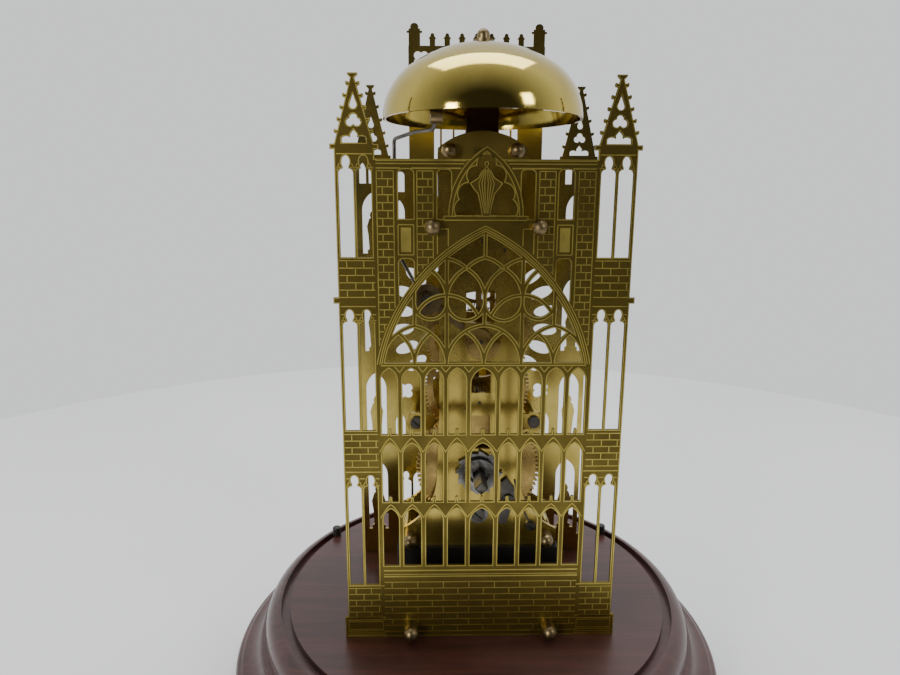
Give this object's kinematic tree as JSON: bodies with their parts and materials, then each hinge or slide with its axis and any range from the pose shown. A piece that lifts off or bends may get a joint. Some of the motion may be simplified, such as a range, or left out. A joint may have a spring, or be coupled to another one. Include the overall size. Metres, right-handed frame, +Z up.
{
  "type": "skeleton clock",
  "caption": "Skeleton clock with two pierced gothic brass screens around a spring-driven movement, a bell with hammer on top, on a round moulded wood base.",
  "frame": {"origin": "centre of the underside of the felt feet, on the axis of the round base", "axes": "+Z up, -Y out of the winding side, +Y out of the dial side, +X to the right as seen from the winding side"},
  "size_m": [0.2352, 0.2352, 0.31],
  "materials": {
    "mahogany": "satin polished hardwood",
    "felt": "plain",
    "etched_brass": "etched, dark ground with bright raised lines",
    "plain_brass": "satin",
    "polished_brass": "polished",
    "wheel_brass": "fine satin",
    "dark_bronze": "toned, polished",
    "steel": "fine satin",
    "polished_steel": "polished",
    "blued_steel": "blued",
    "black_paint": "satin black",
    "dark_strap": "toned dark brown",
    "silvered": "silvered matt",
    "ruby": "polished stone"
  },
  "bodies": {
    "frame": {"base": "mahogany", "foot_pads": "felt", "dome_pegs": "black_paint", "seat_bolts": "steel", "plinth_block": "black_paint", "rear_screen": "etched_brass", "front_screen": "plain_brass", "chapter_ring": "silvered", "chapter_ring_feet": "plain_brass", "upper_screen_pillars": "plain_brass", "lower_screen_pillars": "plain_brass", "screen_ball_nuts": "dark_bronze", "screen_dome_nuts": "dark_bronze", "dial_pillars": "plain_brass", "movement_screws": "steel", "rear_plate": "polished_brass", "front_plate": "polished_brass", "movement_pillars": "polished_brass", "plate_nuts": "dark_bronze", "click_spring": "steel", "washer": "polished_steel", "plate_posts": "steel", "bell": "polished_brass", "bell_standard": "dark_strap", "bell_nut": "dark_bronze", "bell_bridge": "plain_brass"},
    "barrel": {"great_wheel": "wheel_brass", "barrel_drum": "wheel_brass", "barrel_cap": "wheel_brass", "mainspring": "blued_steel"},
    "winding": {"winding_arbor": "steel", "ratchet_wheel": "polished_steel", "ratchet_boss": "polished_steel"},
    "click": {"click": "steel"},
    "intermediate": {"inter_wheel": "wheel_brass", "inter_arbor": "steel"},
    "centre": {"centre_wheel": "wheel_brass", "centre_arbor": "steel", "strike_cam": "wheel_brass", "cannon_pinion": "steel", "minute_hand": "blued_steel", "hand_nut": "polished_brass"},
    "third": {"third_wheel": "wheel_brass", "third_arbor": "steel"},
    "fourth": {"fourth_wheel": "wheel_brass", "fourth_arbor": "steel"},
    "escape": {"escape_wheel": "wheel_brass", "escape_arbor": "steel"},
    "lever": {"lever": "steel", "pallet_stones": "ruby", "lever_arbor": "steel"},
    "balance": {"balance_wheel": "wheel_brass", "balance_staff": "steel", "hairspring": "blued_steel"},
    "minute_work": {"minute_wheel": "wheel_brass"},
    "hour": {"hour_wheel": "wheel_brass", "hour_hand": "blued_steel"},
    "hammer": {"hammer_arm": "dark_bronze", "hammer_wire": "steel", "hammer_head": "dark_bronze"}
  },
  "joints": [
    {"name": "third_spin", "type": "hinge", "parent": "frame", "child": "third", "pos_m": [0, 0, 0.19525], "axis": [0, 1, 0], "continuous": true},
    {"name": "barrel_spin", "type": "hinge", "parent": "frame", "child": "barrel", "pos_m": [0, 0, 0.107], "axis": [0, 1, 0], "continuous": true},
    {"name": "intermediate_spin", "type": "hinge", "parent": "frame", "child": "intermediate", "pos_m": [0, 0, 0.1399], "axis": [0, 1, 0], "continuous": true},
    {"name": "centre_spin", "type": "hinge", "parent": "frame", "child": "centre", "pos_m": [0, 0, 0.16825], "axis": [0, 1, 0], "continuous": true},
    {"name": "fourth_spin", "type": "hinge", "parent": "frame", "child": "fourth", "pos_m": [0.01, 0, 0.20793], "axis": [0, 1, 0], "continuous": true},
    {"name": "escape_spin", "type": "hinge", "parent": "frame", "child": "escape", "pos_m": [0, 0, 0.21196], "axis": [0, 1, 0], "continuous": true},
    {"name": "minute_work_spin", "type": "hinge", "parent": "frame", "child": "minute_work", "pos_m": [0.012, 0, 0.16825], "axis": [0, 1, 0], "continuous": true},
    {"name": "hour_spin", "type": "hinge", "parent": "frame", "child": "hour", "pos_m": [0, 0, 0.16825], "axis": [0, 1, 0], "continuous": true},
    {"name": "winding_spin", "type": "hinge", "parent": "frame", "child": "winding", "pos_m": [0, 0, 0.107], "axis": [0, 1, 0], "continuous": true},
    {"name": "click_swing", "type": "hinge", "parent": "frame", "child": "click", "pos_m": [0.0136, 0, 0.0934], "axis": [0, 1, 0], "range_deg": [0, 9], "stiffness_Nm_per_rad": 0.004, "deforming": ["click_spring"]},
    {"name": "lever_swing", "type": "hinge", "parent": "frame", "child": "lever", "pos_m": [0, 0, 0.22016], "axis": [0, 1, 0], "range_deg": [-4, 4]},
    {"name": "balance_swing", "type": "hinge", "parent": "frame", "child": "balance", "pos_m": [0, 0, 0.23246], "axis": [0, 1, 0], "range_deg": [-270, 270], "stiffness_Nm_per_rad": 0.00002},
    {"name": "hammer_swing", "type": "hinge", "parent": "frame", "child": "hammer", "pos_m": [-0.0235, 0, 0.1874], "axis": [0, 1, 0], "range_deg": [-0.6, 8], "stiffness_Nm_per_rad": 0.05}
  ],
  "couplings": [
    {"joint": "centre_spin", "follows": "third_spin", "ratio": -0.125},
    {"joint": "intermediate_spin", "follows": "third_spin", "ratio": 0.015625},
    {"joint": "barrel_spin", "follows": "third_spin", "ratio": -0.0027344},
    {"joint": "fourth_spin", "follows": "third_spin", "ratio": -7.5},
    {"joint": "escape_spin", "follows": "third_spin", "ratio": 75},
    {"joint": "minute_work_spin", "follows": "third_spin", "ratio": 0.041667},
    {"joint": "hour_spin", "follows": "third_spin", "ratio": -0.010417}
  ]
}
